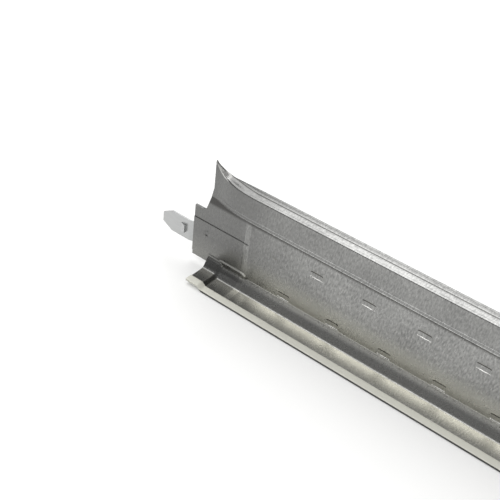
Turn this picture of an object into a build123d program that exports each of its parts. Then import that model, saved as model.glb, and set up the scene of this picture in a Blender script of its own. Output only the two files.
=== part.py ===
"""Ceiling grid cross tee, 24 mm wide and 38 mm high, for a 600 mm module.

X runs along the tee, Y across it and Z up. The origin is at mid-length, on the
underside of the painted face. Sizes are millimetres.
"""
import os

from build123d import *

# Length and section
LENGTH = 600.0          # module line to module line
HEIGHT = 38.0           # face underside to bulb top
FLANGE_WIDTH = 24.0     # over the painted cap
BULB_WIDTH = 5.8
BULB_DEPTH = 9.7
BULB_CROWN = 0.12       # rise of the bulb's top from its shoulders to its crest
BULB_RADIUS = 0.9       # upper corner of the bulb
LEDGE_RADIUS = 0.5      # lower corner of the bulb
GROOVE_WIDTH = 0.7      # seam groove along the bulb's top
GROOVE_DEPTH = 0.15
STRIP = 0.4             # galvanised strip, before folding
CAP_STRIP = 0.3         # painted capping strip
CAP_RETURN = 2.8        # hem of the cap over the flange
CAP_PLAY = 0.05         # room between flange edge and cap
FOOT_RISE = 4.0         # slanted foot between flange and web
FOOT_SPREAD = 2.8       # how far each leaf of the foot slants out
FOOT_BEND = 0.5         # foot to flange, outside the bend
WEB_BEND = 1.0          # web to foot, outside the bend
LEAF_GAP = 0.12         # closed up where the two leaves meet

# Ends of the body, measured from the module line
WEB_SETBACK = 0.4
FLANGE_SETBACK = 7.8
WEB_END_BOTTOM = 2.6    # lower edge of the web beyond the flange
JOGGLE_RISE = 1.2       # flange end lifts over the neighbour's flange
JOGGLE_START = 12.4
JOGGLE_END = 14.6
COPE_HEIGHT = 22.5      # floor of the end notch
COPE_SLOPE_TOP = 31.0
COPE_FOOT = 4.9
COPE_SETBACK = 7.6      # end of the pinched bulb
COPE_ROOT_RADIUS = 0.9

# Bulb end pressed flat: it grows higher as it grows thinner
PINCH_LENGTH = 17.0     # stretch over which the bulb is pressed
PINCH_SNAP = 0.2        # lower keeps the bulb wide for longer
PINCH_STEPS = 9
STEP_CURVE = 1.4        # steps are closer together near the tip
CREST_RISE = 3.7
CREST_CURVE = 1.5
CREST_FLICK = 0.9       # last turn upwards, at the very tip
SHOULDER_RISE = 1.35
SHOULDER_CURVE = 2.3
SHOULDER_FLICK = 3.0
FLICK_CURVE = 12.0
RIDGE_SHARE = 0.42      # bend beside the crest, as a share of the half width
RIDGE_DROP = 0.15       # its place below the crest, as a share of the slope

# Clip pocket at each end
CLIP_STRIP = 0.5
PAD_LENGTH = 24.2
PAD_BOTTOM = 4.6
PAD_TOP = 18.1
PAD_RADIUS = 2.0
POCKET_MARGIN = 2.0     # leaf round the clip's root that stays pressed together
CLIP_PLAY = 0.15
TONGUE_REACH = 13.0     # beyond the module line
TONGUE_HEIGHT = 8.0
TONGUE_STEP = 0.5       # sideways step that lets two tongues pass
STEP_RUN = 1.6
NOSE_RUN = 4.0
NOSE_DROP = 2.2
LATCH_LENGTH = 3.6
LATCH_HEIGHT = 3.0
LATCH_RISE = 0.9
LATCH_SETBACK = 1.2     # from the sideways step to the latch's free edge
CLINCH_DIAMETER = 2.2
CLINCH_DEPTH = 0.3
CLINCH_SETBACK = 6.1
CLINCH_HEIGHT = 13.7

# Stitches that hold the two leaves together
STITCH_PITCH = 19.0
STITCH_LENGTH = 5.4
STITCH_HEIGHT = 2.4
STITCH_DEPTH = 0.22
LOWER_ROW = 6.0
UPPER_ROW = 20.3
LOWER_ROW_FIRST = 38.9  # first stitch, from the module line
UPPER_ROW_FIRST = 49.7

HALF = LENGTH / 2
WEB = 2 * STRIP
FLANGE_UNDER = CAP_STRIP
FLANGE_TOP = FLANGE_UNDER + STRIP
FLANGE_HALF = FLANGE_WIDTH / 2 - CAP_STRIP - CAP_PLAY
BULB_BOTTOM = HEIGHT - BULB_DEPTH
FOOT_TOP = FLANGE_TOP + FOOT_RISE
PINCH_END = COPE_SETBACK + PINCH_LENGTH
STUB = 1.0              # overlap of foot and web
PAD_PROUD = CLIP_STRIP / 2
POCKET_BOTTOM = PAD_BOTTOM + POCKET_MARGIN
POCKET_TOP = PAD_TOP - POCKET_MARGIN
POCKET_LENGTH = PAD_LENGTH - POCKET_MARGIN


def across(setback):
    """Plane across the tee at a distance from the left module line."""
    return Plane(origin=(setback - HALF, 0, 0), x_dir=(0, 1, 0), z_dir=(1, 0, 0))


def both_ends(shape):
    """The same shape at both ends, turned half round about Z."""
    return [shape, shape.rotate(Axis.Z, 180)]


def stations():
    """Distances from the left module line, and the flange's lift at each."""
    near = [(FLANGE_SETBACK, JOGGLE_RISE), (JOGGLE_START, JOGGLE_RISE), (JOGGLE_END, 0)]
    far = [(LENGTH - place, lift) for place, lift in reversed(near)]
    return near + far


def foot_face(setback, lift):
    """Both leaves from the web down over the slanted foot into the flange, cut across."""
    web_y = WEB / 2
    with BuildSketch(across(setback)) as sketch:
        with BuildLine():
            FilletPolyline(
                (web_y, FOOT_TOP + STUB), (web_y, FOOT_TOP), (web_y + FOOT_SPREAD, FLANGE_TOP),
                (FLANGE_HALF, FLANGE_TOP), radius=(WEB_BEND, FOOT_BEND)
            )
            offset(amount=STRIP, side=Side.RIGHT)
        make_face()
        mirror(about=Plane.YZ)
        with Locations((0, FOOT_TOP + STUB / 2)):
            Rectangle(LEAF_GAP, STUB)
    return Pos(0, 0, lift) * sketch.sketch


def cap_face(setback, lift):
    """The painted strip with its two hems, cut across."""
    top = FLANGE_TOP + CAP_STRIP
    with BuildSketch(across(setback)) as sketch:
        with Locations((0, top / 2)):
            SlotOverall(FLANGE_WIDTH, top)
        with Locations((0, (FLANGE_UNDER + FLANGE_TOP) / 2)):
            Rectangle(FLANGE_WIDTH - 2 * CAP_STRIP, STRIP, mode=Mode.SUBTRACT)
        with Locations((0, top)):
            Rectangle(FLANGE_WIDTH - 2 * CAP_RETURN, 2 * CAP_STRIP, mode=Mode.SUBTRACT)
    return Pos(0, 0, lift) * sketch.sketch


def pressed(setback):
    """How far the bulb's end is pressed flat, from 1 at its tip to 0 where it is whole."""
    return min(max((PINCH_END - setback) / PINCH_LENGTH, 0), 1)


def bulb_half(setback):
    """Half the bulb's width at a distance from the left module line."""
    opened = (1 - pressed(setback)) ** 2
    spread = opened / (opened + PINCH_SNAP * pressed(setback))
    return WEB / 2 + (BULB_WIDTH / 2 - WEB / 2) * spread


def bulb_face(setback, inset=0):
    """The bulb's outline, cut across, taken in by an inset on every side."""
    half = bulb_half(setback) - inset
    narrowed = half / (BULB_WIDTH / 2 - inset)
    press = pressed(setback)
    flick = press ** FLICK_CURVE
    bottom = BULB_BOTTOM + inset
    top = HEIGHT - inset
    shoulder = top - BULB_CROWN + SHOULDER_RISE * press ** SHOULDER_CURVE + SHOULDER_FLICK * flick
    crest = top + CREST_RISE * press ** CREST_CURVE + CREST_FLICK * flick
    ridge = crest - RIDGE_DROP * (crest - shoulder)
    lower = narrowed * (LEDGE_RADIUS - inset)
    upper = narrowed * (BULB_RADIUS - inset)
    right = [(half, bottom), (half, shoulder), (RIDGE_SHARE * half, ridge)]
    left = [(-y, z) for y, z in reversed(right)]
    with BuildSketch(across(setback)) as sketch:
        with BuildLine():
            radii = (lower, upper, 0, 0, 0, upper, lower)
            FilletPolyline(*right, (0, crest), *left, radius=radii, close=True)
        make_face()
    return sketch.sketch


def pinched_bulb():
    """The bulb's end, pressed flat into an upright fin."""
    shares = [(step / PINCH_STEPS) ** STEP_CURVE for step in range(PINCH_STEPS + 1)]
    places = [COPE_SETBACK + PINCH_LENGTH * share for share in shares]
    hollow = [place for place in places if bulb_half(place) > 2 * STRIP]
    skin = loft([bulb_face(place) for place in places], ruled=True)
    return skin - loft([bulb_face(place, STRIP) for place in hollow], ruled=True)


def straight_bulb():
    """The hollow bulb between the two pinched ends, with its seam groove."""
    run = LENGTH - 2 * PINCH_END
    skin = bulb_face(PINCH_END)
    inner = bulb_face(PINCH_END, STRIP)
    with BuildSketch(across(PINCH_END)) as groove:
        with BuildLine():
            Polyline(
                (-GROOVE_WIDTH / 2, HEIGHT), (0, HEIGHT - GROOVE_DEPTH), (GROOVE_WIDTH / 2, HEIGHT),
                (-GROOVE_WIDTH / 2, HEIGHT), close=True
            )
        make_face()
    return extrude(skin, run) - extrude(inner, run) - extrude(groove.sketch, run)


def web_plate():
    """Both leaves of the web as they lie together, with the end notches cut."""
    bottom = FOOT_TOP + STUB / 2
    top = BULB_BOTTOM + STRIP / 2
    run = LENGTH - 2 * WEB_SETBACK
    plate = Pos(0, 0, (bottom + top) / 2) * Box(run, WEB, top - bottom)
    beyond = FLANGE_SETBACK + STUB - WEB_SETBACK
    toe = Pos(WEB_SETBACK + beyond / 2 - HALF, 0, (WEB_END_BOTTOM + bottom) / 2)
    toe = toe * Box(beyond, WEB, bottom - WEB_END_BOTTOM + STUB)
    return plate + both_ends(toe)


def cope():
    """Cutter for the notch above the web at the left end."""
    over = HEIGHT + 2 * CREST_RISE
    with BuildSketch(Plane.XZ) as sketch:
        with BuildLine():
            Polyline(
                (COPE_SETBACK - HALF, over), (COPE_SETBACK - HALF, COPE_SLOPE_TOP),
                (COPE_FOOT - HALF, COPE_HEIGHT), (-STUB - HALF, COPE_HEIGHT), (-STUB - HALF, over),
                close=True
            )
        make_face()
        corner = sketch.vertices().sort_by(Axis.Z)[:2].sort_by(Axis.X)[-1]
        fillet(corner, COPE_ROOT_RADIUS)
    return extrude(sketch.sketch, BULB_WIDTH, both=True)


def pad():
    """Raised stretch of the web over the clip's root at the left end."""
    height = PAD_TOP - PAD_BOTTOM
    thick = WEB + 2 * PAD_PROUD
    place = Pos(WEB_SETBACK + (PAD_LENGTH - WEB_SETBACK) / 2 - HALF, 0, PAD_BOTTOM + height / 2)
    block = place * Box(PAD_LENGTH - WEB_SETBACK, thick, height)
    upright = block.edges().filter_by(Axis.Y).group_by(Axis.X)[-1]
    return fillet(upright, PAD_RADIUS)


def pocket():
    """Room between the leaves for the clip's root at the left end."""
    height = POCKET_TOP - POCKET_BOTTOM
    start = WEB_SETBACK - STUB
    run = POCKET_LENGTH - start
    place = Pos(start + run / 2 - HALF, 0, POCKET_BOTTOM + height / 2)
    return place * Box(run, CLIP_STRIP, height)


def stitch_places(first):
    """Distances from mid-length to the stitches of one row."""
    count = int((LENGTH - 2 * first) / STITCH_PITCH) + 1
    return [first - HALF + STITCH_PITCH * index for index in range(count)]


def stitches(offset):
    """Small blocks on one side of the web, one for each stitch."""
    blocks = []
    for first, row in ((LOWER_ROW_FIRST, LOWER_ROW), (UPPER_ROW_FIRST, UPPER_ROW)):
        for place in stitch_places(first):
            block = Box(STITCH_LENGTH, 2 * STITCH_DEPTH, STITCH_HEIGHT)
            blocks.append(Pos(place, offset, row) * block)
    return blocks


def clinch(side):
    """Round dimple or button on one side, which locks the clip between the leaves at the left end."""
    face = side * (WEB / 2 + PAD_PROUD)
    place = Pos(CLINCH_SETBACK - HALF, face, CLINCH_HEIGHT) * Rot(90, 0, 0)
    return place * Cylinder(CLINCH_DIAMETER / 2, 2 * CLINCH_DEPTH)


def tee_body():
    """The one galvanised strip: bulb, double web and both flange leaves."""
    foot = loft([foot_face(place, lift) for place, lift in stations()], ruled=True)
    body = foot + web_plate() + straight_bulb()
    body = body + both_ends(pinched_bulb())
    body = body - both_ends(cope())
    body = body + both_ends(pad()) - both_ends(pocket())
    body = body - both_ends(clinch(-1)) + both_ends(clinch(1))
    body = body - stitches(-WEB / 2) + stitches(WEB / 2)
    return body


def flange_cap():
    """The painted strip that closes the flange and shows in the room."""
    return loft([cap_face(place, lift) for place, lift in stations()], ruled=True)


def clip_side_view():
    """Outline of the left clip seen from the side."""
    root_end = POCKET_LENGTH - CLIP_PLAY - HALF
    bottom = POCKET_BOTTOM + CLIP_PLAY
    top = POCKET_TOP - CLIP_PLAY
    middle = (bottom + top) / 2
    neck = WEB_SETBACK - HALF
    nose = -TONGUE_REACH - HALF
    half = TONGUE_HEIGHT / 2
    with BuildSketch(Plane.XZ) as sketch:
        with BuildLine():
            Polyline(
                (root_end, bottom), (root_end, top), (neck, top), (neck, middle + half),
                (nose + NOSE_RUN, middle + half), (nose, middle + half - NOSE_DROP),
                (nose, middle - half + NOSE_DROP), (nose + NOSE_RUN, middle - half),
                (neck, middle - half), (neck, bottom), close=True
            )
        make_face()
    return extrude(sketch.sketch, FLANGE_WIDTH / 2, both=True)


def clip_plan_view():
    """The left clip's strip seen from above, with its sideways step."""
    root_end = POCKET_LENGTH - CLIP_PLAY - HALF
    bend = WEB_SETBACK - HALF
    nose = -TONGUE_REACH - HALF
    line = [(root_end, 0), (bend, 0), (bend - STEP_RUN, -TONGUE_STEP), (nose, -TONGUE_STEP)]
    upper = [(x, y + CLIP_STRIP / 2) for x, y in line]
    lower = [(x, y - CLIP_STRIP / 2) for x, y in reversed(line)]
    with BuildSketch() as sketch:
        with BuildLine():
            Polyline(*upper, *lower, close=True)
        make_face()
    return extrude(sketch.sketch, HEIGHT)


def latch():
    """Spring tab lanced from the tongue, which catches behind a slotted web."""
    back = -STEP_RUN - LATCH_SETBACK - HALF
    middle = (POCKET_BOTTOM + POCKET_TOP) / 2
    face = -TONGUE_STEP - CLIP_STRIP / 2
    with BuildSketch() as sketch:
        with BuildLine():
            Polyline(
                (back, face + CLIP_STRIP), (back, face - LATCH_RISE),
                (back - LATCH_LENGTH, face + CLIP_STRIP), close=True
            )
        make_face()
    return Pos(0, 0, middle - LATCH_HEIGHT / 2) * extrude(sketch.sketch, LATCH_HEIGHT)


def end_clip():
    """The left steel clip: root between the leaves, tongue beyond the module line."""
    return (clip_side_view() & clip_plan_view()) + latch()


def save(name, shape):
    """Write one named piece."""
    solids = shape.solids()
    piece = solids[0] if len(solids) == 1 else Compound(children=list(solids))
    piece.label = name
    export_step(piece, f"parts/{name}.step")


def main():
    os.makedirs("parts", exist_ok=True)
    left_clip, right_clip = both_ends(end_clip())
    save("tee_body", tee_body())
    save("flange_cap", flange_cap())
    save("end_clip_left", left_clip)
    save("end_clip_right", right_clip)


main()
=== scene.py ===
import math

import bmesh
import bpy
import numpy as np
from mathutils import Matrix, Vector


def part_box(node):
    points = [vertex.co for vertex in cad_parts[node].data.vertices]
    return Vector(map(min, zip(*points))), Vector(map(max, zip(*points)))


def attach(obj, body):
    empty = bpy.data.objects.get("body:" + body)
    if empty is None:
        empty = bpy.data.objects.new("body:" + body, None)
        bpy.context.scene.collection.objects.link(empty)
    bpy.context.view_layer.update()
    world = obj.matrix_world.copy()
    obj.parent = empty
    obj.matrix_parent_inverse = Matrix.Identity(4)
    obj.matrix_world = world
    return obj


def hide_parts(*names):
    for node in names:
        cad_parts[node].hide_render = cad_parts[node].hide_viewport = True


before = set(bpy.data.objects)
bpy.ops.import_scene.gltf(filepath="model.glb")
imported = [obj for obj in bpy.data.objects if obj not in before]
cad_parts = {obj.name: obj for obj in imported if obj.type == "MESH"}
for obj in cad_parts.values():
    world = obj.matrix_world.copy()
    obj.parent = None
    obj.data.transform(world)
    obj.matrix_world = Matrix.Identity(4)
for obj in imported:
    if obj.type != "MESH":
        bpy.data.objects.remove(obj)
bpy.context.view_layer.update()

bl_info = {
    "name": "Ceiling grid cross tee",
    "version": (1, 0, 0),
    "blender": (4, 5, 0),
    "location": "View3D > Sidebar > Cross tee",
    "description": "Builds the folded body, its stitches, the painted cap and the clips of a cross tee",
    "category": "Add Mesh",
}

MM = 0.001
TINY = 1e-6
SHARP_ANGLE = 32.0
CAP_LOW, CAP_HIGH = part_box("flange_cap")

# Places along the tee are millimetres from the nearer module line
MODULE = 600.0
WEB_END = 0.4
FLANGE_END = 7.8
TOE_BOTTOM = 2.6
JOGGLE_RISE = 1.2
JOGGLE_START = 12.4
JOGGLE_END = 14.6
COPE_FLOOR = 22.5
COPE_FOOT = 4.9
COPE_TIP = 7.6
COPE_SLOPE_TOP = 31.0
COPE_ROOT = 0.9
COPE_ROUND = 0.8
COPE_START = COPE_FOOT - COPE_ROUND
PINCH_LENGTH = 17.0
DENSE_END = 27.0

# Section, millimetres
HEIGHT = 38.0
STRIP = 0.4
HALF_WEB = 0.4
FLANGE_HALF = 11.65
FLANGE_TOP = 0.7
BOW = 0.22
BOW_END = 7.0
FOOT_TOP = 4.5
FOOT_SPREAD = 3.1
FOOT_BEND = 0.8
WEB_BEND = 0.9
HALF_BULB = 2.9
LEDGE = 28.3
LEDGE_FILLET = 0.4
LOWER_CORNER = 0.5
LOWER_STEP = 28.95
UPPER_STEP = 29.95
STEP_PROUD = 0.1
UPPER_CORNER = 0.55
CROWN = 0.12
VALLEY = 1.93
GROOVE_HALF = 0.3
GROOVE_DEPTH = 0.08
SHOULDER = HEIGHT - CROWN - UPPER_CORNER

# Bulb end pressed flat: shares of its half width, and how far its corner and crest rise
RIDGE_AT = 0.42
SHELF_AT = 0.66
RIDGE_DROP = 0.15
SHELF_RISE = 0.06
CORNER_RISE = 1.35
CORNER_TIP = 3.0
CREST_RISE = 3.7
CREST_TIP = 0.9
TIP_POWER = 12

# Ends of the folded strip, millimetres or shares of a height
TOE_KEPT = 0.9
CAVITY_KEPT = 0.3
CAVITY_HALF = 0.02
LIFT_FADE = 3.3
RELIEF_FLOOR = 2.6
RELIEF_FADE = 1.2

# Stitches, millimetres
STITCH_PITCH = 19.0
STITCH_LENGTH = 5.4
STITCH_HEIGHT = 2.4
STITCH_RAMP = 1.1
STITCH_SKIN = 0.05
STITCH_REACH = 264.5
STITCH_WALLS = ((-1.2, -0.99, 0.6, 1.2), (0, 1, 1, 0))
LOWER_ROW, LOWER_FIRST, LOWER_DEPTH = 6.06, 38.9, 0.19
UPPER_ROW, UPPER_FIRST, UPPER_DEPTH = 20.3, 49.7, 0.2
STITCH_ROWS = ((LOWER_ROW, LOWER_FIRST), (UPPER_ROW, UPPER_FIRST))
STITCH_ALONG = (-2.7, -2.4, -2.0, -1.6, -1.0, 0.0, 1.0, 1.6, 2.0, 2.4, 2.7)
STITCH_ACROSS = (-1.2, -0.99, -0.6, -0.3, 0.0, 0.3, 0.6, 0.95, 1.2)

# Marks in the web's end: distance from the module line and height, at a corner or centre
PAD = ((-40.0, 4.4), (24.2, 18.1))
BAND = ((21.8, 4.4), (24.4, 28.0))
BEAD = ((2.0, 3.2), (23.7, 6.3))
LANCE = ((9.0, 10.7), (9.9, 13.3))
CLINCH = (6.1, 13.7)
BUMP = (34.1, 19.0)
BUMP_STEPS = (-0.9, -0.55, -0.25, 0.0, 0.25, 0.55, 0.9)

# Capping strip, millimetres
CAP_TOP = 1.0
CAP_STRIP = 0.3
CAP_RETURN = 2.8
CAP_INNER_EDGE = 3.0
LIP_RADIUS = 0.12
FOLD_SHIFT = 0.1
FOLD_RADIUS = CAP_TOP / 2 - CAP_STRIP

# Colours of painted shadow, painted shade and painted highlight on the zinc
SHADOW = "#3C3B39"
PAINTED_SHADE_GREY = "#6C6C6B"
PAINTED_HIGHLIGHT_WHITE = "#F4F3F0"

# Painted light and shade on the zinc, laid over each other in this order. A mark's share is the product of
# its ramps.
# A ramp gives its field, where it starts and stops (millimetres), and its share before and after.
ZINC_PAINTED_LIGHT = (
    # Bright, warm painted sheen on the flange beside the foot, standing in for the light it reflects
    ("flange_sheen_painted", None, (("far", 3.4, 3.75, 0.0, 1.0), ("far", 4.5, 9.0, 0.9, 0.1))),
    # Lighter colour low on the web: painted light that lifts the shade of the foot and flange it reflects
    ("lower_web_painted_light", "#D4D3CC", (("high", 5.5, 13.0, 0.8, 0.0), ("far", 0.7, 1.7, 1.0, 0.0))),
    # Darker, olive colour on the foot's slope: painted shade
    ("foot", "#565550", (("far", 0.6, 1.9, 0.0, 0.42), ("far", 3.4, 3.75, 1.0, 0.0),
                         ("high", 8.0, 9.0, 1.0, 0.0))),
    # Darker side faces of the bulb above the step: painted shade
    ("bulb_side_painted_shade", PAINTED_SHADE_GREY, (("high", 28.8, 29.0, 0.0, 1.0), ("far", 2.6, 2.85, 0.0, 0.3))),
    # Painted shade on the web above its foot, growing towards each end
    ("upper_end_painted_shade", PAINTED_SHADE_GREY, (("along", 240.0, 266.0, 0.0, 0.34), ("high", 5.0, 14.0, 0.0, 1.0))),
    # Painted shade over each end's last 34 mm, deepest at the tip, less along the band's upright step
    ("tip_end_painted_shade", PAINTED_SHADE_GREY, (("along", 266.0, 281.0, 0.0, 0.75), ("kept", 0.0, 1.0, 0.0, 1.0))),
    # Painted highlight on the upward faces of the pinched tip, high on the bulb
    ("tip_painted_highlight", PAINTED_HIGHLIGHT_WHITE, (("facing", 0.12, 0.3, 0.0, 0.9), ("along", 285.5, 288.0, 0.0, 1.0),
                               ("high", 36.0, 36.6, 0.0, 1.0))),
    ("stitch_shadow", SHADOW, (("stitch_top", 0.0, 1.0, 0.0, 0.85),)),
    ("stitch_glint", PAINTED_HIGHLIGHT_WHITE, (("stitch_foot", 0.0, 1.0, 0.0, 0.9),)),
    # Dark line along the groove in the bulb's top: painted shade
    ("groove", SHADOW, (("far", 0.1, 0.3, 0.75, 0.0), ("high", 36.0, 36.6, 0.0, 1.0))),
    # Painted shade in a band under the bulb's ledge, up to its lower step
    ("ledge_painted_shade", SHADOW, (("high", 28.75, 28.95, 1.0, 0.0), ("high", 25.4, 26.4, 0.0, 0.75))),
)
# Where the painted shade of the pressed end is lighter: an upright band and the height where it stops
KEPT_AT, KEPT_HALF, KEPT_SHARE = 277.3, 1.1, 0.8
KEPT_TOP = (26.0, 28.0)
# Height offset and half width of the painted shadow above each stitch row and the painted highlight below it
STITCH_TOP_LINE = (0.85, 0.3)
STITCH_FOOT_LINE = (-1.1, 0.16)

# Stage: metres, and strengths where 1 is white
FLOOR_REACH = 6.0
FLOOR_LIFT = 0.2
WORLD_STRENGTH = 0.22
TEE_END = (-0.22, 0.0, 0.02)
PANELS = (
    ("overhead_panel", (-0.5, 0.15, 1.5), 1.8, 3.1, 2.3),
    ("back_panel", (-1.15, 3.15, 1.5), 1.8, 2.9, 1.35),
)
LENS, SENSOR = 66.42, 36.0
CAMERA_PLACE = (-0.140712, -0.195032, 0.191528)
CAMERA_RIGHT = (0.776335, 0.62337, 0.09335)
CAMERA_DOWN = (0.431957, -0.418298, -0.799024)
CAMERA_AHEAD = (-0.45904, 0.660633, -0.594008)


def linear(hex_colour):
    """An sRGB hex value as linear red, green, blue and alpha."""
    parts = [int(hex_colour[i:i + 2], 16) / 255 for i in (1, 3, 5)]
    return [c / 12.92 if c <= 0.04045 else ((c + 0.055) / 1.055) ** 2.4 for c in parts] + [1.0]


class TeeFinishes(bpy.types.PropertyGroup):
    """Colours and gloss of the tee's three finishes."""

    zinc_light: bpy.props.FloatVectorProperty(
        name="Zinc, light", description="Light streaks of the galvanised strip",
        subtype="COLOR", size=4, min=0, max=1, default=linear("#B3B3B1"))
    zinc_dark: bpy.props.FloatVectorProperty(
        name="Zinc, dark", description="Dark streaks of the galvanised strip",
        subtype="COLOR", size=4, min=0, max=1, default=linear("#828281"))
    # Colour of the painted sheen: a bright, warm band painted on the flange beside the foot, for the light it
    # reflects
    zinc_sheen_painted: bpy.props.FloatVectorProperty(
        name="Zinc, rubbed", description="Bright, warm band of the flange beside the foot",
        subtype="COLOR", size=4, min=0, max=1, default=linear("#DCDACF"))
    zinc_roughness: bpy.props.FloatProperty(
        name="Zinc roughness", description="Mean roughness of the galvanised strip",
        subtype="FACTOR", min=0, max=1, default=0.29)
    paint: bpy.props.FloatVectorProperty(
        name="Face paint", description="Coil paint of the capping strip",
        subtype="COLOR", size=4, min=0, max=1, default=linear("#E1E0D5"))
    clip: bpy.props.FloatVectorProperty(
        name="Clip steel", description="Zinc-plated spring steel of the clips",
        subtype="COLOR", size=4, min=0, max=1, default=linear("#B9BABA"))


class TeeSizes(bpy.types.PropertyGroup):
    """Sizes of the tee's fine relief."""

    pad_proud: bpy.props.FloatProperty(
        name="Pad height", description="How far the clip's bed stands out of each side of the web",
        unit="LENGTH", min=0, default=0.25 * MM, precision=5)
    lower_stitch_depth: bpy.props.FloatProperty(
        name="Lower stitch depth", description="How deep the lower stitches are pressed through the web",
        unit="LENGTH", min=0, default=LOWER_DEPTH * MM, precision=5)
    upper_stitch_depth: bpy.props.FloatProperty(
        name="Upper stitch depth", description="How deep the upper stitches are pressed through the web",
        unit="LENGTH", min=0, default=UPPER_DEPTH * MM, precision=5)
    cap_width: bpy.props.FloatProperty(
        name="Face width", description="Width of the painted face, from the frame",
        unit="LENGTH", min=MM, default=CAP_HIGH.y - CAP_LOW.y, precision=5)


def smooth(t):
    """A soft step from 0 to 1."""
    t = np.clip(t, 0.0, 1.0)
    return t * t * (3 - 2 * t)


def share_of(value, start, stop):
    """How far a value has gone from start to stop, from 0 to 1."""
    return np.clip((value - start) / (stop - start), 0.0, 1.0)


def arc(centre, radius, start, stop, steps):
    """Points on an arc in the section, angles in degrees."""
    turns = np.radians(np.linspace(start, stop, steps + 1))
    return [(centre[0] + radius * math.cos(t), centre[1] + radius * math.sin(t)) for t in turns]


def line(start, stop, steps):
    """Points on a straight stretch of the section, its start left out."""
    return [tuple(np.array(start) + (np.array(stop) - np.array(start)) * i / steps)
            for i in range(1, steps + 1)]


def rise_to(places, *stretches):
    """Add heights to a list, each stretch given by its end and its spacing."""
    for stop, spacing in stretches:
        steps = max(1, round((stop - places[-1]) / spacing))
        places += [float(v) for v in np.linspace(places[-1], stop, steps + 1)[1:]]
    return places


def foot_rows():
    """Matching rows of a flange leaf, outside and inside, from its edge up to the web, and the
    place in them of the toe's lower edge."""
    slant = math.atan2(FOOT_TOP - FLANGE_TOP - BOW, FOOT_SPREAD)
    low = (HALF_WEB + FOOT_SPREAD + FOOT_BEND * math.tan(slant / 2), FLANGE_TOP + BOW + FOOT_BEND)
    high = (HALF_WEB + WEB_BEND, FOOT_TOP + WEB_BEND * math.tan((math.pi / 2 - slant) / 2))
    turned = 270 - math.degrees(slant)
    skins = []
    for thick in (0.0, STRIP):
        edge = (FLANGE_HALF, FLANGE_TOP - thick)
        row = [edge] + line(edge, (low[0], FLANGE_TOP - thick), 8)
        row = [(y, z + BOW * max(0.0, (BOW_END - y) / (BOW_END - low[0])) ** 2) for y, z in row]
        row += arc(low, FOOT_BEND + thick, 270, turned, 6)[1:]
        bend = arc(high, WEB_BEND + thick, turned, 180, 4)
        if thick == 0.0:
            share = (TOE_BOTTOM - row[-1][1]) / (bend[0][1] - row[-1][1])
        toe = tuple(a + (b - a) * share for a, b in zip(row[-1], bend[0]))
        row += line(row[-1], toe, 4)
        split = len(row) - 1
        row += line(toe, bend[0], 4) + bend[1:]
        skins.append(row)
    return skins[0], skins[1], split


WEB_START = foot_rows()[0][-1][1]


def web_rows():
    """Rows of one side of the web, above the foot. A stitch's window has the stitch's own rows."""
    heights = [WEB_START]
    for row, _ in STITCH_ROWS:
        if row == UPPER_ROW:
            heights = rise_to(heights, (11.4, 0.5), (15.4, 0.25), (17.2, 0.6))
        heights = rise_to(heights, (row - STITCH_HEIGHT / 2, 0.24))
        heights += [row + z for z in STITCH_ACROSS[1:]]
    heights = rise_to(heights, (COPE_FLOOR, 0.5), (COPE_FLOOR + COPE_ROOT, 0.15),
                      (LEDGE - LEDGE_FILLET, 0.75))
    return [(HALF_WEB, z) for z in heights[1:]]


def bulb_rows():
    """Rows of one side of the bulb, from the ledge to the groove in its top."""
    lip, step = HALF_BULB + 2 * STEP_PROUD, HALF_BULB + STEP_PROUD
    rows = arc((HALF_WEB + LEDGE_FILLET, LEDGE - LEDGE_FILLET), LEDGE_FILLET, 180, 90, 4)[1:]
    rows += line(rows[-1], (lip - LOWER_CORNER, LEDGE), 3)
    rows += arc((lip - LOWER_CORNER, LEDGE + LOWER_CORNER), LOWER_CORNER, 270, 360, 6)[1:]
    rows += [(lip, LOWER_STEP), (step, LOWER_STEP + 0.6 * STEP_PROUD)]
    rows += line(rows[-1], (step, UPPER_STEP), 3) + [(HALF_BULB, UPPER_STEP + 0.6 * STEP_PROUD)]
    rows += line(rows[-1], (HALF_BULB, SHOULDER), 8)
    rows += arc((HALF_BULB - UPPER_CORNER, SHOULDER), UPPER_CORNER, 0, 90, 9)[1:]
    rows += [(VALLEY, HEIGHT - CROWN - 0.012), (VALLEY - 0.07, HEIGHT - CROWN - 0.01)]
    for y in (1.75, 1.55, 1.34, 1.22, 1.1, 0.85, 0.6):
        rows.append((y, HEIGHT - CROWN * ((y - GROOVE_HALF) / (VALLEY - 0.07 - GROOVE_HALF)) ** 2))
    rows += [(GROOVE_HALF, HEIGHT), (0.08, HEIGHT - GROOVE_DEPTH), (0.0, HEIGHT - GROOVE_DEPTH)]
    return rows


def stitch_count(first):
    """How many stitches a row has whose first one is this far from the left module line."""
    return int((MODULE - 2 * first) / STITCH_PITCH) + 1


def stitch_places():
    """Row height and distance from the left module line of every stitch."""
    return [(row, first + STITCH_PITCH * i) for row, first in STITCH_ROWS for i in range(stitch_count(first))]


def spans(places, centre, length):
    """Spans between neighbouring places that lie within a length about a centre."""
    low, high = centre - length / 2 - 1e-3, centre + length / 2 + 1e-3
    return [i for i in range(len(places) - 1) if places[i] > low and places[i + 1] < high]


def body_stations():
    """Distances from the left module line at which the body's section is placed."""
    end = rise_to([WEB_END], (COPE_START, 0.37), (FLANGE_END, 0.37), (FLANGE_END + 0.05, 0.05),
                  (JOGGLE_START, 0.38), (JOGGLE_END, 0.28), (DENSE_END, 0.4))
    bump = [BUMP[0] + step for step in BUMP_STEPS]
    middle = [p + side * STITCH_LENGTH / 2 for _, p in stitch_places() for side in (-1, 1)]
    places = end + [MODULE - u for u in end] + bump + [MODULE - u for u in bump] + middle
    return sorted(set(round(u, 4) for u in places))


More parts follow.
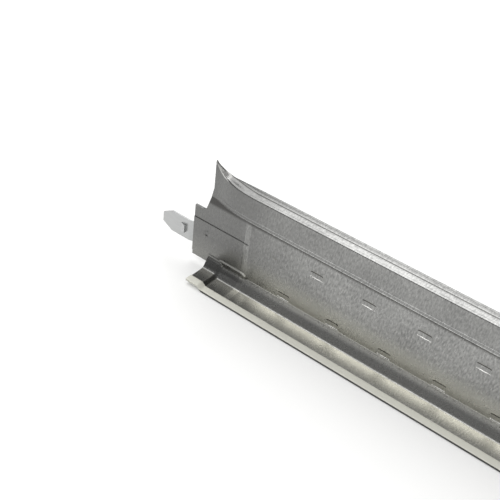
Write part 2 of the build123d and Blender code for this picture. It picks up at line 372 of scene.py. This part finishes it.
def cope_line(z):
    """Where the notched end of the web and bulb starts at a height above the notch's floor."""
    slope = (COPE_TIP - COPE_FOOT) / (COPE_SLOPE_TOP - COPE_FLOOR)
    root = np.clip(1 - (z - COPE_FLOOR) / COPE_ROOT, 0, 1)
    return np.minimum(COPE_FOOT + slope * (z - COPE_FLOOR), COPE_TIP) - COPE_ROUND * root ** 2


def box_distance(u, z, low, high, radius):
    """Signed distance to a rectangle with rounded corners on the web."""
    centre, half = (np.array(low) + high) / 2, (np.array(high) - low) / 2 - radius
    du, dz = np.abs(u - centre[0]) - half[0], np.abs(z - centre[1]) - half[1]
    outside = np.hypot(np.maximum(du, 0), np.maximum(dz, 0))
    return outside + np.minimum(np.maximum(du, dz), 0) - radius


def web_relief(u, z, near, pad_proud):
    """How far the web's surface stands out at its end; near is true on the clinch's dimpled side."""
    pad = box_distance(u, z, *PAD, 1.2)
    band = box_distance(u, z, *BAND, 1.2)
    bead = box_distance(u, z, *BEAD, 1.5)
    relief = pad_proud * (smooth((0.14 - pad) / 0.28) + 0.5 * smooth((0.4 - band) / 0.8))
    relief += 0.2 * smooth((0.15 - bead) / 0.3) * smooth((u - 5.0) / 4.0)
    clinch = np.hypot(u - CLINCH[0], z - CLINCH[1])
    lance = box_distance(u, z, *LANCE, 0.3)
    sign = -1.0 if near else 1.0
    relief += sign * 0.35 * smooth((1.25 - clinch) / 0.6) + sign * 0.14 * smooth((0.2 - lance) / 0.4)
    if near:
        relief += 0.16 * smooth((0.95 - np.hypot(u - BUMP[0], z - BUMP[1])) / 0.6)
    return relief


def pinch(u, y, z, top):
    """The bulb near its end, pressed towards a flat upright fin; top is true above the side face."""
    share = np.clip((u - COPE_TIP) / PINCH_LENGTH, 0, 1)
    spread = share ** 2 / (share ** 2 + 0.2 * (1 - share))
    half = HALF_WEB + (HALF_BULB - HALF_WEB) * spread
    corner = CORNER_RISE * (1 - share) ** 2.3 + CORNER_TIP * (1 - share) ** TIP_POWER
    crest = CREST_RISE * (1 - share) ** 1.5 + CREST_TIP * (1 - share) ** TIP_POWER
    if top:
        tight, across = smooth((0.7 - share) / 0.35), y / HALF_BULB
        roof, shelf = RIDGE_DROP + 0.3 * tight, SHELF_RISE + 0.29 * tight
        fall = roof * share_of(across, 0.0, RIDGE_AT) + shelf * share_of(across, SHELF_AT, 1.0)
        fall += (1 - roof - shelf) * share_of(across, RIDGE_AT, SHELF_AT)
        return y * half / HALF_BULB, z + crest + (corner - crest) * fall
    squeezed = HALF_WEB + (y - HALF_WEB) * (half - HALF_WEB) / (HALF_BULB - HALF_WEB)
    share_up = np.clip((z - LEDGE) / (SHOULDER - LEDGE), 0, 1)
    return squeezed, z + corner * share_up


def joggle(u):
    """How far the flange's end is lifted."""
    return JOGGLE_RISE * (1 - smooth((u - JOGGLE_START) / (JOGGLE_END - JOGGLE_START)))


def place_row(kind, y, z, stations, side, pad_proud):
    """One row of the body along all stations, as x, y and z in millimetres."""
    left = stations <= MODULE / 2
    u = np.where(left, stations, MODULE - stations)
    near_left = side < 0
    if z > COPE_FLOOR:
        fading = np.clip(1 - (u - COPE_START) / (DENSE_END - COPE_START), 0, 1)
        u = u + np.where(u >= COPE_START - TINY, fading * (cope_line(z) - COPE_START), 0)
    width = np.full(len(u), y)
    height = np.full(len(u), z)
    lift = joggle(u)
    toe = u <= FLANGE_END + TINY
    if kind == "foot":
        height = height + lift
        width = np.where(toe, HALF_WEB, width)
        height = np.where(toe, TOE_BOTTOM + (z - TOE_BOTTOM) * TOE_KEPT, height)
    elif kind == "cavity":
        height = height + lift
        width = np.where(toe, min(y, CAVITY_HALF), width)
        height = np.where(toe, TOE_BOTTOM + max(z - TOE_BOTTOM, 0.0) * CAVITY_KEPT, height)
    elif kind == "web":
        blend = np.clip(1 - (z - WEB_START) / LIFT_FADE, 0, 1)
        height = height + np.where(toe, 0, lift) * blend
    elif kind in ("side", "top"):
        width, height = pinch(u, width, height, kind == "top")
    if kind in ("foot", "web"):
        raised_left = web_relief(u, height, near_left, pad_proud)
        raised_right = web_relief(u, height, not near_left, pad_proud)
        relief = np.where(left, raised_left, raised_right)
        width = width + relief * smooth((height - RELIEF_FLOOR) / RELIEF_FADE)
    x = np.where(left, u, MODULE - u) - MODULE / 2
    return np.stack([x, side * width, height], axis=1)


def body_mesh(pad_proud):
    """The folded strip as one closed skin, with its windows for the stitches left open."""
    outer, inner, split = foot_rows()
    rows = [("foot", y, z) for y, z in outer]
    rows += [("web", y, z) for y, z in web_rows()]
    rows += [("top" if z > SHOULDER - TINY else "side", y, z) for y, z in bulb_rows()]
    stations = np.array(body_stations())
    count = len(stations)
    verts, ids = [], {}

    def add(key, points):
        ids[key] = np.arange(len(verts), len(verts) + count)
        verts.extend(points)

    for index, (kind, y, z) in enumerate(rows):
        for side in (-1, 1):
            if index == len(rows) - 1 and side > 0:
                ids[("out", 1, index)] = ids[("out", -1, index)]
            else:
                add(("out", side, index), place_row(kind, y, z, stations, side, pad_proud))
    for index, (y, z) in enumerate(inner):
        for side in (-1, 1):
            if index == len(inner) - 1 and side > 0:
                ids[("in", 1, index)] = ids[("in", -1, index)]
            else:
                add(("in", side, index), place_row("cavity", y, z, stations, side, pad_proud))

    nearest = np.minimum(stations, MODULE - stations)
    in_flange = nearest > FLANGE_END + TINY
    in_tall = nearest > COPE_START - TINY
    heights = [z for _, _, z in rows]
    windows = {(index, at) for row, place in stitch_places()
               for index in spans(heights, row, STITCH_HEIGHT)
               for at in spans(stations, place, STITCH_LENGTH)}
    faces = []

    def face(*corners):
        loop = list(dict.fromkeys(int(c) for c in corners))
        if len(loop) > 2:
            faces.append(loop)

    def present(index, at, skin):
        if index < split:
            return in_flange[at]
        if skin == "out" and rows[index][2] > COPE_FLOOR + TINY:
            return in_tall[at]
        return True

    def border(first, last):
        """Points between two corners of a window, to meet those of its stitch."""
        shares = [(x - STITCH_ALONG[0]) / (STITCH_ALONG[-1] - STITCH_ALONG[0]) for x in STITCH_ALONG[1:-1]]
        made = list(range(len(verts), len(verts) + len(shares)))
        verts.extend(verts[first] + (verts[last] - verts[first]) * share for share in shares)
        return made

    for side in (-1, 1):
        for index in range(len(rows) - 1):
            low, high = ids[("out", side, index)], ids[("out", side, index + 1)]
            for at in range(count - 1):
                here = all(present(i, k, "out") for i in (index, index + 1) for k in (at, at + 1))
                if (index, at) in windows or not here:
                    continue
                under = border(high[at + 1], high[at]) if (index + 1, at) in windows else []
                over = border(low[at], low[at + 1]) if (index - 1, at) in windows else []
                face(low[at], *over, low[at + 1], high[at + 1], *under, high[at])
        for index in range(len(inner) - 1):
            low, high = ids[("in", side, index)], ids[("in", side, index + 1)]
            for at in range(count - 1):
                if all(present(i, k, "in") for i in (index, index + 1) for k in (at, at + 1)):
                    face(low[at], high[at], high[at + 1], low[at + 1])
        out_edge, in_edge = ids[("out", side, 0)], ids[("in", side, 0)]
        for at in range(count - 1):
            if in_flange[at] and in_flange[at + 1]:
                face(out_edge[at], in_edge[at], in_edge[at + 1], out_edge[at + 1])
            elif not (in_flange[at] and in_flange[at + 1]):
                low, high = ids[("in", side, split)], ids[("out", side, split)]
                face(low[at], low[at + 1], high[at + 1], high[at])
        flange_first = int(np.argmax(in_flange))
        flange_last = count - 1 - int(np.argmax(in_flange[::-1]))
        for at in (flange_first, flange_last):
            for index in range(split):
                face(ids[("out", side, index)][at], ids[("out", side, index + 1)][at],
                     ids[("in", side, index + 1)][at], ids[("in", side, index)][at])
        for at in (0, count - 1):
            for index in range(split, len(inner) - 1):
                face(ids[("out", side, index)][at], ids[("out", side, index + 1)][at],
                     ids[("in", side, index + 1)][at], ids[("in", side, index)][at])

    def across(index_low, at_low, index_high, at_high):
        face(ids[("out", -1, index_low)][at_low], ids[("out", 1, index_low)][at_low],
             ids[("out", 1, index_high)][at_high], ids[("out", -1, index_high)][at_high])

    notch = next(i for i, row in enumerate(rows) if row[2] > COPE_FLOOR - TINY)
    foot_top = len(inner) - 1
    tall_first = int(np.argmax(in_tall))
    tall_last = count - 1 - int(np.argmax(in_tall[::-1]))
    for at in (0, count - 1):
        face(ids[("out", -1, foot_top)][at], ids[("in", 1, foot_top)][at], ids[("out", 1, foot_top)][at])
        for index in range(foot_top, notch):
            across(index, at, index + 1, at)
    for at in range(count - 1):
        if at + 1 <= tall_first or at >= tall_last:
            across(notch, at, notch, at + 1)
    for at in (tall_first, tall_last):
        for index in range(notch, len(rows) - 1):
            across(index, at, index + 1, at)
    return np.array(verts) * MM, faces


def mesh_object(name, verts, faces, finish=True):
    """A mesh object from its points and faces."""
    mesh = bpy.data.meshes.new(name)
    mesh.from_pydata([tuple(v) for v in verts], [], faces)
    if finish:
        finish_mesh(mesh)
    thing = bpy.data.objects.new(name, mesh)
    bpy.context.scene.collection.objects.link(thing)
    return thing


def finish_mesh(mesh):
    """Merge doubles, drop unused points, turn faces outward and shade smooth up to SHARP_ANGLE."""
    work = bmesh.new()
    work.from_mesh(mesh)
    bmesh.ops.remove_doubles(work, verts=work.verts, dist=0.004 * MM)
    bmesh.ops.dissolve_degenerate(work, edges=work.edges, dist=0.001 * MM)
    bmesh.ops.delete(work, geom=[v for v in work.verts if not v.link_faces], context="VERTS")
    bmesh.ops.recalc_face_normals(work, faces=work.faces)
    for f in work.faces:
        f.smooth = True
    work.to_mesh(mesh)
    work.free()
    mesh.set_sharp_from_angle(angle=math.radians(SHARP_ANGLE))


def add_node(tree, kind, inputs=None, **settings):
    """Add a node, set its fields, and link or set each named or numbered input."""
    made = tree.nodes.new(kind)
    for field, value in settings.items():
        setattr(made, field, value)
    for key, value in (inputs or {}).items():
        if isinstance(value, bpy.types.NodeSocket):
            tree.links.new(value, made.inputs[key])
        else:
            made.inputs[key].default_value = value
    return made


def new_material(name):
    """An empty node material with its output."""
    material = bpy.data.materials.new(name)
    material.use_nodes = True
    material.node_tree.nodes.clear()
    output = material.node_tree.nodes.new("ShaderNodeOutputMaterial")
    return material, material.node_tree, output


def kept_band(tree, along, high):
    """Share of the painted shade at the pressed end that stays: less in an upright band, up to the band's
    top.
    """
    band = add_node(tree, "ShaderNodeMath", {0: along, 1: KEPT_AT * MM, 2: KEPT_HALF * MM},
                    operation="COMPARE").outputs[0]
    taken = add_node(tree, "ShaderNodeMapRange", {
        "Value": high, "From Min": KEPT_TOP[0] * MM, "From Max": KEPT_TOP[1] * MM,
        "To Min": -KEPT_SHARE, "To Max": 0.0}).outputs[0]
    return add_node(tree, "ShaderNodeMath", {0: band, 1: taken, 2: 1.0}, operation="MULTIPLY_ADD").outputs[0]


def stitch_line(tree, far, along, high, offset, half_line):
    """Mask of one line along every stitch, where its metal is pushed off the web's plane; it places a painted
    shadow or painted highlight.
    """
    level = add_node(tree, "ShaderNodeMath", {0: far, 1: HALF_WEB * MM, 2: STITCH_SKIN * MM},
                     operation="COMPARE").outputs[0]
    inside = add_node(tree, "ShaderNodeMath", {0: along, 1: STITCH_REACH * MM},
                      operation="LESS_THAN").outputs[0]
    pushed = add_node(tree, "ShaderNodeMath", {0: inside, 1: level}, operation="SUBTRACT").outputs[0]
    lower, upper = [add_node(tree, "ShaderNodeMath", {
        0: high, 1: (row + offset) * MM, 2: half_line * MM}, operation="COMPARE").outputs[0]
        for row, _ in STITCH_ROWS]
    both = add_node(tree, "ShaderNodeMath", {0: lower, 1: upper}, operation="ADD").outputs[0]
    return add_node(tree, "ShaderNodeMath", {0: both, 1: pushed}, operation="MULTIPLY",
                    use_clamp=True).outputs[0]


def paint_light_on_zinc(tree, colour, fields, painted_flange_sheen):
    """Lay the painted light and shade over the zinc's colour, one after the other."""
    for mark, shade, ramps in ZINC_PAINTED_LIGHT:
        share = None
        for field, start, stop, before, after in ramps:
            value, unit = fields[field]
            ramp = add_node(tree, "ShaderNodeMapRange", {
                "Value": value, "From Min": start * unit, "From Max": stop * unit,
                "To Min": before, "To Max": after}, label=mark).outputs[0]
            share = ramp if share is None else add_node(
                tree, "ShaderNodeMath", {0: share, 1: ramp}, operation="MULTIPLY").outputs[0]
        colour = add_node(tree, "ShaderNodeMix", {
            "Factor": share, 6: colour, 7: linear(shade) if shade else painted_flange_sheen},
            data_type="RGBA").outputs[2]
    return colour


def galvanised_strip(finishes):
    """Hot-dip galvanised steel strip, rolled and folded: a soft grey metal with fine mottled
    strokes across the strip and slow ripples in its reflections. Painted over it: a bright, warm
    painted sheen on the flange beside the foot, painted light low on the web, painted shade on the
    foot, the bulb's side and where the ends are pressed, a painted highlight at the pinched tips, and
    painted shade in its groove and under the ledge. Dark and bright lines beside the stitches are
    finer than a pixel, so part of them is painted shadow and painted highlight."""
    material, tree, output = new_material("galvanised_strip")
    stroke_width, stroke_length, patch, ripple, lean = 0.52, 1.4, 14.0, 26.0, 0.12
    ripple_depth, grain_depth, gloss_spread = 0.12, 0.009, 0.05
    place = add_node(tree, "ShaderNodeTexCoord").outputs["Object"]
    parts = add_node(tree, "ShaderNodeSeparateXYZ", {0: place}).outputs
    high = parts["Z"]
    far = add_node(tree, "ShaderNodeMath", {0: parts["Y"]}, operation="ABSOLUTE").outputs[0]
    along = add_node(tree, "ShaderNodeMath", {0: parts["X"]}, operation="ABSOLUTE").outputs[0]
    run = add_node(tree, "ShaderNodeMath", {0: high, 1: far}, operation="SUBTRACT").outputs[0]
    side = add_node(tree, "ShaderNodeMath", {0: parts["Y"]}, operation="SIGN").outputs[0]
    leaning = add_node(tree, "ShaderNodeMath", {0: run, 1: -lean, 2: parts["X"]},
                       operation="MULTIPLY_ADD").outputs[0]
    squeezed = add_node(tree, "ShaderNodeMath", {0: run, 1: stroke_width / stroke_length},
                        operation="MULTIPLY").outputs[0]
    strip = add_node(tree, "ShaderNodeCombineXYZ", {"X": leaning, "Y": squeezed, "Z": side}).outputs[0]
    plain = add_node(tree, "ShaderNodeCombineXYZ", {"X": parts["X"], "Y": run, "Z": side}).outputs[0]
    strokes = add_node(tree, "ShaderNodeTexNoise", {
        "Vector": strip, "Scale": 1 / (stroke_width * MM), "Detail": 2.0, "Distortion": 0.15}).outputs["Fac"]
    patches = add_node(tree, "ShaderNodeTexNoise", {
        "Vector": plain, "Scale": 1 / (patch * MM), "Detail": 2.0}).outputs["Fac"]
    blend = add_node(tree, "ShaderNodeMath", {0: patches, 1: 0.4, 2: -0.2},
                     operation="MULTIPLY_ADD").outputs[0]
    tone = add_node(tree, "ShaderNodeMath", {0: strokes, 1: blend}, operation="ADD").outputs[0]
    tone = add_node(tree, "ShaderNodeMapRange", {
        "Value": tone, "From Min": 0.22, "From Max": 0.78}).outputs[0]
    colour = add_node(tree, "ShaderNodeMix", {
        "Factor": tone, 6: finishes.zinc_dark, 7: finishes.zinc_light}, data_type="RGBA").outputs[2]
    normal = add_node(tree, "ShaderNodeNewGeometry").outputs["Normal"]
    facing = add_node(tree, "ShaderNodeSeparateXYZ", {0: normal}).outputs["Z"]
    colour = paint_light_on_zinc(tree, colour, {
        "far": (far, MM), "along": (along, MM), "high": (high, MM), "facing": (facing, 1.0),
        "kept": (kept_band(tree, along, high), 1.0),
        "stitch_top": (stitch_line(tree, far, along, high, *STITCH_TOP_LINE), 1.0),
        "stitch_foot": (stitch_line(tree, far, along, high, *STITCH_FOOT_LINE), 1.0),
    }, finishes.zinc_sheen_painted)
    rough = add_node(tree, "ShaderNodeMapRange", {
        "Value": tone, "To Min": finishes.zinc_roughness + gloss_spread,
        "To Max": finishes.zinc_roughness - gloss_spread}).outputs[0]
    slow = add_node(tree, "ShaderNodeTexNoise", {
        "Vector": plain, "Scale": 1 / (ripple * MM), "Detail": 1.0}).outputs["Fac"]
    ripples = add_node(tree, "ShaderNodeBump", {
        "Height": slow, "Strength": 1.0, "Distance": ripple_depth * MM}).outputs[0]
    grain = add_node(tree, "ShaderNodeBump", {
        "Height": strokes, "Normal": ripples, "Strength": 1.0, "Distance": grain_depth * MM}).outputs[0]
    shader = add_node(tree, "ShaderNodeBsdfPrincipled", {
        "Base Color": colour, "Metallic": 1.0, "Roughness": rough, "Normal": grain})
    tree.links.new(shader.outputs[0], output.inputs["Surface"])
    return material


def painted_face(finishes):
    """Polyester coil paint on steel strip: an even cream-white satin with faint orange peel, and a
    painted contact shadow: a dark line low on the fold of each edge."""
    material, tree, output = new_material("painted_face")
    peel, peel_depth, cloud = 1.1, 0.01, 30.0
    fold_start, fold_stop, line_full, line_end = 11.4, 11.5, 0.7, 0.9
    place = add_node(tree, "ShaderNodeTexCoord").outputs["Object"]
    clouds = add_node(tree, "ShaderNodeTexNoise", {
        "Vector": place, "Scale": 1 / (cloud * MM), "Detail": 2.0}).outputs["Fac"]
    shade = add_node(tree, "ShaderNodeMapRange", {
        "Value": clouds, "To Min": 0.95, "To Max": 1.03}).outputs[0]
    colour = add_node(tree, "ShaderNodeHueSaturation", {"Value": shade, "Color": finishes.paint}).outputs[0]
    parts = add_node(tree, "ShaderNodeSeparateXYZ", {0: place}).outputs
    far = add_node(tree, "ShaderNodeMath", {0: parts["Y"]}, operation="ABSOLUTE").outputs[0]
    # Painted contact shadow: a dark line low on the fold of each edge, where the cap meets the floor
    fold = add_node(tree, "ShaderNodeMapRange", {
        "Value": far, "From Min": fold_start * MM, "From Max": fold_stop * MM}).outputs[0]
    under = add_node(tree, "ShaderNodeMapRange", {
        "Value": parts["Z"], "From Min": line_full * MM, "From Max": line_end * MM,
        "To Min": 1.0, "To Max": 0.0}).outputs[0]
    contact_shadow = add_node(tree, "ShaderNodeMath", {0: fold, 1: under}, operation="MULTIPLY").outputs[0]
    colour = add_node(tree, "ShaderNodeMix", {"Factor": contact_shadow, 6: colour, 7: linear("#191815")},
                      data_type="RGBA").outputs[2]
    skin = add_node(tree, "ShaderNodeTexNoise", {
        "Vector": place, "Scale": 1 / (peel * MM), "Detail": 1.0}).outputs["Fac"]
    bump = add_node(tree, "ShaderNodeBump", {
        "Height": skin, "Strength": 0.6, "Distance": peel_depth * MM}).outputs[0]
    shader = add_node(tree, "ShaderNodeBsdfPrincipled", {
        "Base Color": colour, "Roughness": 0.42, "Normal": bump})
    tree.links.new(shader.outputs[0], output.inputs["Surface"])
    return material


def clip_steel(finishes):
    """Zinc-plated spring steel: bright and slightly blue, with fine marks along the strip."""
    material, tree, output = new_material("clip_steel")
    mark_width, mark_length, mark_depth = 0.25, 4.0, 0.01
    place = add_node(tree, "ShaderNodeTexCoord").outputs["Object"]
    along = add_node(tree, "ShaderNodeVectorMath", {0: place, 1: (mark_width / mark_length, 1, 1)},
                     operation="MULTIPLY").outputs[0]
    marks = add_node(tree, "ShaderNodeTexNoise", {
        "Vector": along, "Scale": 1 / (mark_width * MM), "Detail": 2.0}).outputs["Fac"]
    shade = add_node(tree, "ShaderNodeMapRange", {
        "Value": marks, "To Min": 0.86, "To Max": 1.08}).outputs[0]
    colour = add_node(tree, "ShaderNodeHueSaturation", {"Value": shade, "Color": finishes.clip}).outputs[0]
    rough = add_node(tree, "ShaderNodeMapRange", {
        "Value": marks, "To Min": 0.36, "To Max": 0.26}).outputs[0]
    bump = add_node(tree, "ShaderNodeBump", {
        "Height": marks, "Strength": 0.5, "Distance": mark_depth * MM}).outputs[0]
    shader = add_node(tree, "ShaderNodeBsdfPrincipled", {
        "Base Color": colour, "Metallic": 1.0, "Roughness": rough, "Normal": bump})
    tree.links.new(shader.outputs[0], output.inputs["Surface"])
    return material


def studio_floor():
    """Matt white paper under the tee. What the camera or a gloss sees of it is lifted to white."""
    material, tree, output = new_material("studio_floor")
    path = add_node(tree, "ShaderNodeLightPath").outputs
    seen = add_node(tree, "ShaderNodeMath", {0: path["Is Camera Ray"], 1: path["Is Glossy Ray"]},
                    operation="ADD").outputs[0]
    seen = add_node(tree, "ShaderNodeMath", {0: seen, 1: path["Is Transmission Ray"]},
                    operation="ADD").outputs[0]
    strength = add_node(tree, "ShaderNodeMath", {0: seen, 1: FLOOR_LIFT}, operation="MULTIPLY").outputs[0]
    glow = add_node(tree, "ShaderNodeEmission", {
        "Color": linear("#FFFFFF"), "Strength": strength}).outputs[0]
    paper = add_node(tree, "ShaderNodeBsdfDiffuse", {
        "Color": linear("#E8E8E7"), "Roughness": 0.0}).outputs[0]
    both = add_node(tree, "ShaderNodeAddShader", {0: paper, 1: glow})
    tree.links.new(both.outputs[0], output.inputs["Surface"])
    return material


def stitch_template(depth):
    """One stitch: a recessed tongue on the web's front and the raised tongue on its back."""
    verts, faces = [], []
    across = [(z, float(np.interp(z, *STITCH_WALLS))) for z in STITCH_ACROSS]
    width = len(across)
    for side in (-1, 1):
        start = len(verts)
        for x in STITCH_ALONG:
            push = depth * float(smooth((STITCH_LENGTH / 2 - abs(x)) / STITCH_RAMP))
            verts += [(x, side * HALF_WEB + push * pushed, z) for z, pushed in across]
        for i in range(len(STITCH_ALONG) - 1):
            for j in range(width - 1):
                a = start + i * width + j
                loop = [a, a + 1, a + width + 1, a + width]
                faces.append(loop if side > 0 else loop[::-1])
    return np.array(verts) * MM, faces


def stitch_tree():
    """Geometry Nodes tree that sets one stitch at each place of a row."""
    tree = bpy.data.node_groups.new("stitch_row", "GeometryNodeTree")
    for name, kind in (("Pitch", "NodeSocketFloat"), ("First", "NodeSocketVector"),
                       ("Count", "NodeSocketInt"), ("Stitch", "NodeSocketObject"),
                       ("Finish", "NodeSocketMaterial")):
        tree.interface.new_socket(name=name, in_out="INPUT", socket_type=kind)
    tree.interface.new_socket(name="Stitches", in_out="OUTPUT", socket_type="NodeSocketGeometry")
    given = tree.nodes.new("NodeGroupInput").outputs
    step = add_node(tree, "ShaderNodeCombineXYZ", {"X": given["Pitch"]}).outputs[0]
    places = add_node(tree, "GeometryNodeMeshLine", {
        "Count": given["Count"], "Start Location": given["First"], "Offset": step}).outputs[0]
    shape = add_node(tree, "GeometryNodeObjectInfo", {"Object": given["Stitch"]}).outputs["Geometry"]
    spread = add_node(tree, "GeometryNodeInstanceOnPoints", {"Points": places, "Instance": shape}).outputs[0]
    real = add_node(tree, "GeometryNodeRealizeInstances", {0: spread}).outputs[0]
    coated = add_node(tree, "GeometryNodeSetMaterial", {
        "Geometry": real, "Material": given["Finish"]}).outputs[0]
    output = tree.nodes.new("NodeGroupOutput")
    tree.links.new(coated, output.inputs["Stitches"])
    return tree


def run_tree(name, tree, values):
    """Run a Geometry Nodes tree on an empty object and return the plain mesh."""
    holder = bpy.data.objects.new(name, bpy.data.meshes.new(name))
    bpy.context.scene.collection.objects.link(holder)
    modifier = holder.modifiers.new(name, "NODES")
    modifier.node_group = tree
    sockets = {s.name: s.identifier for s in tree.interface.items_tree if s.in_out == "INPUT"}
    for key, value in values.items():
        modifier[sockets[key]] = value
    bpy.context.view_layer.update()
    seen = holder.evaluated_get(bpy.context.evaluated_depsgraph_get())
    mesh = bpy.data.meshes.new_from_object(seen)
    bpy.data.objects.remove(holder)
    return mesh


def cap_mesh(width):
    """The painted strip hemmed round the flange, with its joggled ends."""
    half, round_edge = width / 2, CAP_TOP / 2
    lip, fold = half - CAP_RETURN + LIP_RADIUS, half - CAP_STRIP - FOLD_SHIFT
    profile = []
    for side in (1, -1):
        part = arc((half - round_edge, round_edge), round_edge, -90, 90, 10)
        part += line(part[-1], (lip, CAP_TOP), 3)
        part += arc((lip, CAP_TOP - LIP_RADIUS), LIP_RADIUS, 90, 180, 3)[1:]
        part += [(half - CAP_RETURN, CAP_TOP - CAP_STRIP)]
        part += line(part[-1], (fold, CAP_TOP - CAP_STRIP), 3)
        part += arc((fold, CAP_TOP / 2), FOLD_RADIUS, 90, -90, 6)[1:]
        part += line(part[-1], (CAP_INNER_EDGE, CAP_STRIP), 3)
        profile += [(side * y, z) for y, z in (part if side > 0 else reversed(part))]
    closing = line(profile[-1], profile[0], 4)[:-1]
    profile += closing
    end = rise_to([FLANGE_END], (JOGGLE_START, 0.8), (JOGGLE_END, 0.14), (16.0, 0.5), (40.0, 8.0),
                  (MODULE / 2, 20.0))
    stations = np.array(end + [MODULE - u for u in reversed(end[:-1])])
    nearest = np.minimum(stations, MODULE - stations)
    verts, faces, ring = [], [], len(profile)
    for u, near in zip(stations, nearest):
        verts += [(u - MODULE / 2, y, z + float(joggle(near))) for y, z in profile]
    for at in range(len(stations) - 1):
        for i in range(ring):
            j = (i + 1) % ring
            faces.append([at * ring + i, at * ring + j, (at + 1) * ring + j, (at + 1) * ring + i])
    last = (len(stations) - 1) * ring
    faces.append(list(range(ring)))
    faces.append([last + i for i in range(ring)])
    return np.array(verts) * MM, faces


class TEE_OT_fold_body(bpy.types.Operator):
    """Fold the galvanised strip into bulb, web and flange, with pinched and notched ends"""

    bl_idname = "tee.fold_body"
    bl_label = "Fold the body"

    def execute(self, context):
        sizes, finishes = context.scene.tee_sizes, context.scene.tee_finishes
        verts, faces = body_mesh(sizes.pad_proud / MM)
        body = mesh_object("tee_body_folded", verts, faces, finish=False)
        body.data.materials.append(galvanised_strip(finishes))
        return {"FINISHED"}


class TEE_OT_press_stitches(bpy.types.Operator):
    """Press both rows of stitches through the web"""

    bl_idname = "tee.press_stitches"
    bl_label = "Press the stitches"

    def execute(self, context):
        sizes = context.scene.tee_sizes
        body = bpy.data.objects["tee_body_folded"]
        work = bmesh.new()
        work.from_mesh(body.data)
        depths = (sizes.lower_stitch_depth, sizes.upper_stitch_depth)
        for (row, first), depth in zip(STITCH_ROWS, depths):
            template = mesh_object("stitch_template", *stitch_template(depth / MM), finish=False)
            work.from_mesh(run_tree("stitch_row", stitch_tree(), {
                "Pitch": STITCH_PITCH * MM, "First": ((first - MODULE / 2) * MM, 0.0, row * MM),
                "Count": stitch_count(first), "Stitch": template, "Finish": body.data.materials[0]}))
            bpy.data.objects.remove(template)
        work.to_mesh(body.data)
        work.free()
        finish_mesh(body.data)
        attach(body, "root")
        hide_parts("tee_body")
        return {"FINISHED"}


class TEE_OT_wrap_cap(bpy.types.Operator):
    """Hem the painted strip round the flange"""

    bl_idname = "tee.wrap_cap"
    bl_label = "Wrap the cap"

    def execute(self, context):
        verts, faces = cap_mesh(context.scene.tee_sizes.cap_width / MM)
        cap = mesh_object("flange_cap_hemmed", verts, faces)
        cap.data.materials.append(painted_face(context.scene.tee_finishes))
        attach(cap, "root")
        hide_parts("flange_cap")
        return {"FINISHED"}


class TEE_OT_finish_clips(bpy.types.Operator):
    """Give the steel clips their finish"""

    bl_idname = "tee.finish_clips"
    bl_label = "Finish the clips"

    def execute(self, context):
        steel = clip_steel(context.scene.tee_finishes)
        for name in ("end_clip_left", "end_clip_right"):
            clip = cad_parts[name]
            if not clip.material_slots:
                clip.data.materials.append(steel)
            for slot in clip.material_slots:
                slot.material = steel
        return {"FINISHED"}


class TEE_OT_set_stage(bpy.types.Operator):
    """Lay the floor and set the lamps, the world and the camera"""

    bl_idname = "tee.set_stage"
    bl_label = "Set the stage"

    def execute(self, context):
        scene = context.scene
        corners = [(x * FLOOR_REACH, y * FLOOR_REACH, 0) for x, y in ((-1, -1), (1, -1), (1, 1), (-1, 1))]
        floor = mesh_object("studio_floor", corners, [[0, 1, 2, 3]])
        floor.data.materials.append(studio_floor())
        world = bpy.data.worlds.new("studio")
        world.use_nodes = True
        background = world.node_tree.nodes["Background"].inputs
        background["Color"].default_value = (1, 1, 1, 1)
        background["Strength"].default_value = WORLD_STRENGTH
        scene.world = world
        for name, place, width, length, radiance in PANELS:
            lamp = bpy.data.lights.new(name, "AREA")
            lamp.shape, lamp.size, lamp.size_y = "RECTANGLE", width, length
            lamp.energy = radiance * math.pi * width * length
            panel = bpy.data.objects.new(name, lamp)
            panel.location = Vector(TEE_END) + Vector(place)
            scene.collection.objects.link(panel)
        camera_data = bpy.data.cameras.new("camera")
        camera_data.sensor_fit, camera_data.sensor_width, camera_data.lens = "HORIZONTAL", SENSOR, LENS
        camera = bpy.data.objects.new("camera", camera_data)
        axes = Matrix((Vector(CAMERA_RIGHT), -Vector(CAMERA_DOWN), -Vector(CAMERA_AHEAD))).transposed()
        camera.matrix_world = Matrix.Translation(CAMERA_PLACE) @ axes.to_4x4()
        scene.collection.objects.link(camera)
        scene.camera = camera
        scene.view_settings.view_transform = "Standard"
        return {"FINISHED"}


class TEE_PT_sidebar(bpy.types.Panel):
    """The steps of building the cross tee"""

    bl_idname = "TEE_PT_sidebar"
    bl_label = "Cross tee"
    bl_space_type = "VIEW_3D"
    bl_region_type = "UI"
    bl_category = "Cross tee"

    def draw(self, context):
        for step in STEPS:
            self.layout.operator(step.bl_idname)
        for group in (context.scene.tee_sizes, context.scene.tee_finishes):
            for name in group.__annotations__:
                self.layout.prop(group, name)


STEPS = (TEE_OT_fold_body, TEE_OT_press_stitches, TEE_OT_wrap_cap, TEE_OT_finish_clips, TEE_OT_set_stage)
CLASSES = (TeeFinishes, TeeSizes, *STEPS, TEE_PT_sidebar)


def register():
    for made in CLASSES:
        bpy.utils.register_class(made)
    bpy.types.Scene.tee_finishes = bpy.props.PointerProperty(type=TeeFinishes)
    bpy.types.Scene.tee_sizes = bpy.props.PointerProperty(type=TeeSizes)


def unregister():
    del bpy.types.Scene.tee_finishes
    del bpy.types.Scene.tee_sizes
    for made in reversed(CLASSES):
        bpy.utils.unregister_class(made)


def main():
    register()
    for name in ("fold_body", "press_stitches", "wrap_cap", "finish_clips", "set_stage"):
        getattr(bpy.ops.tee, name)()


if __name__ == "__main__":
    main()
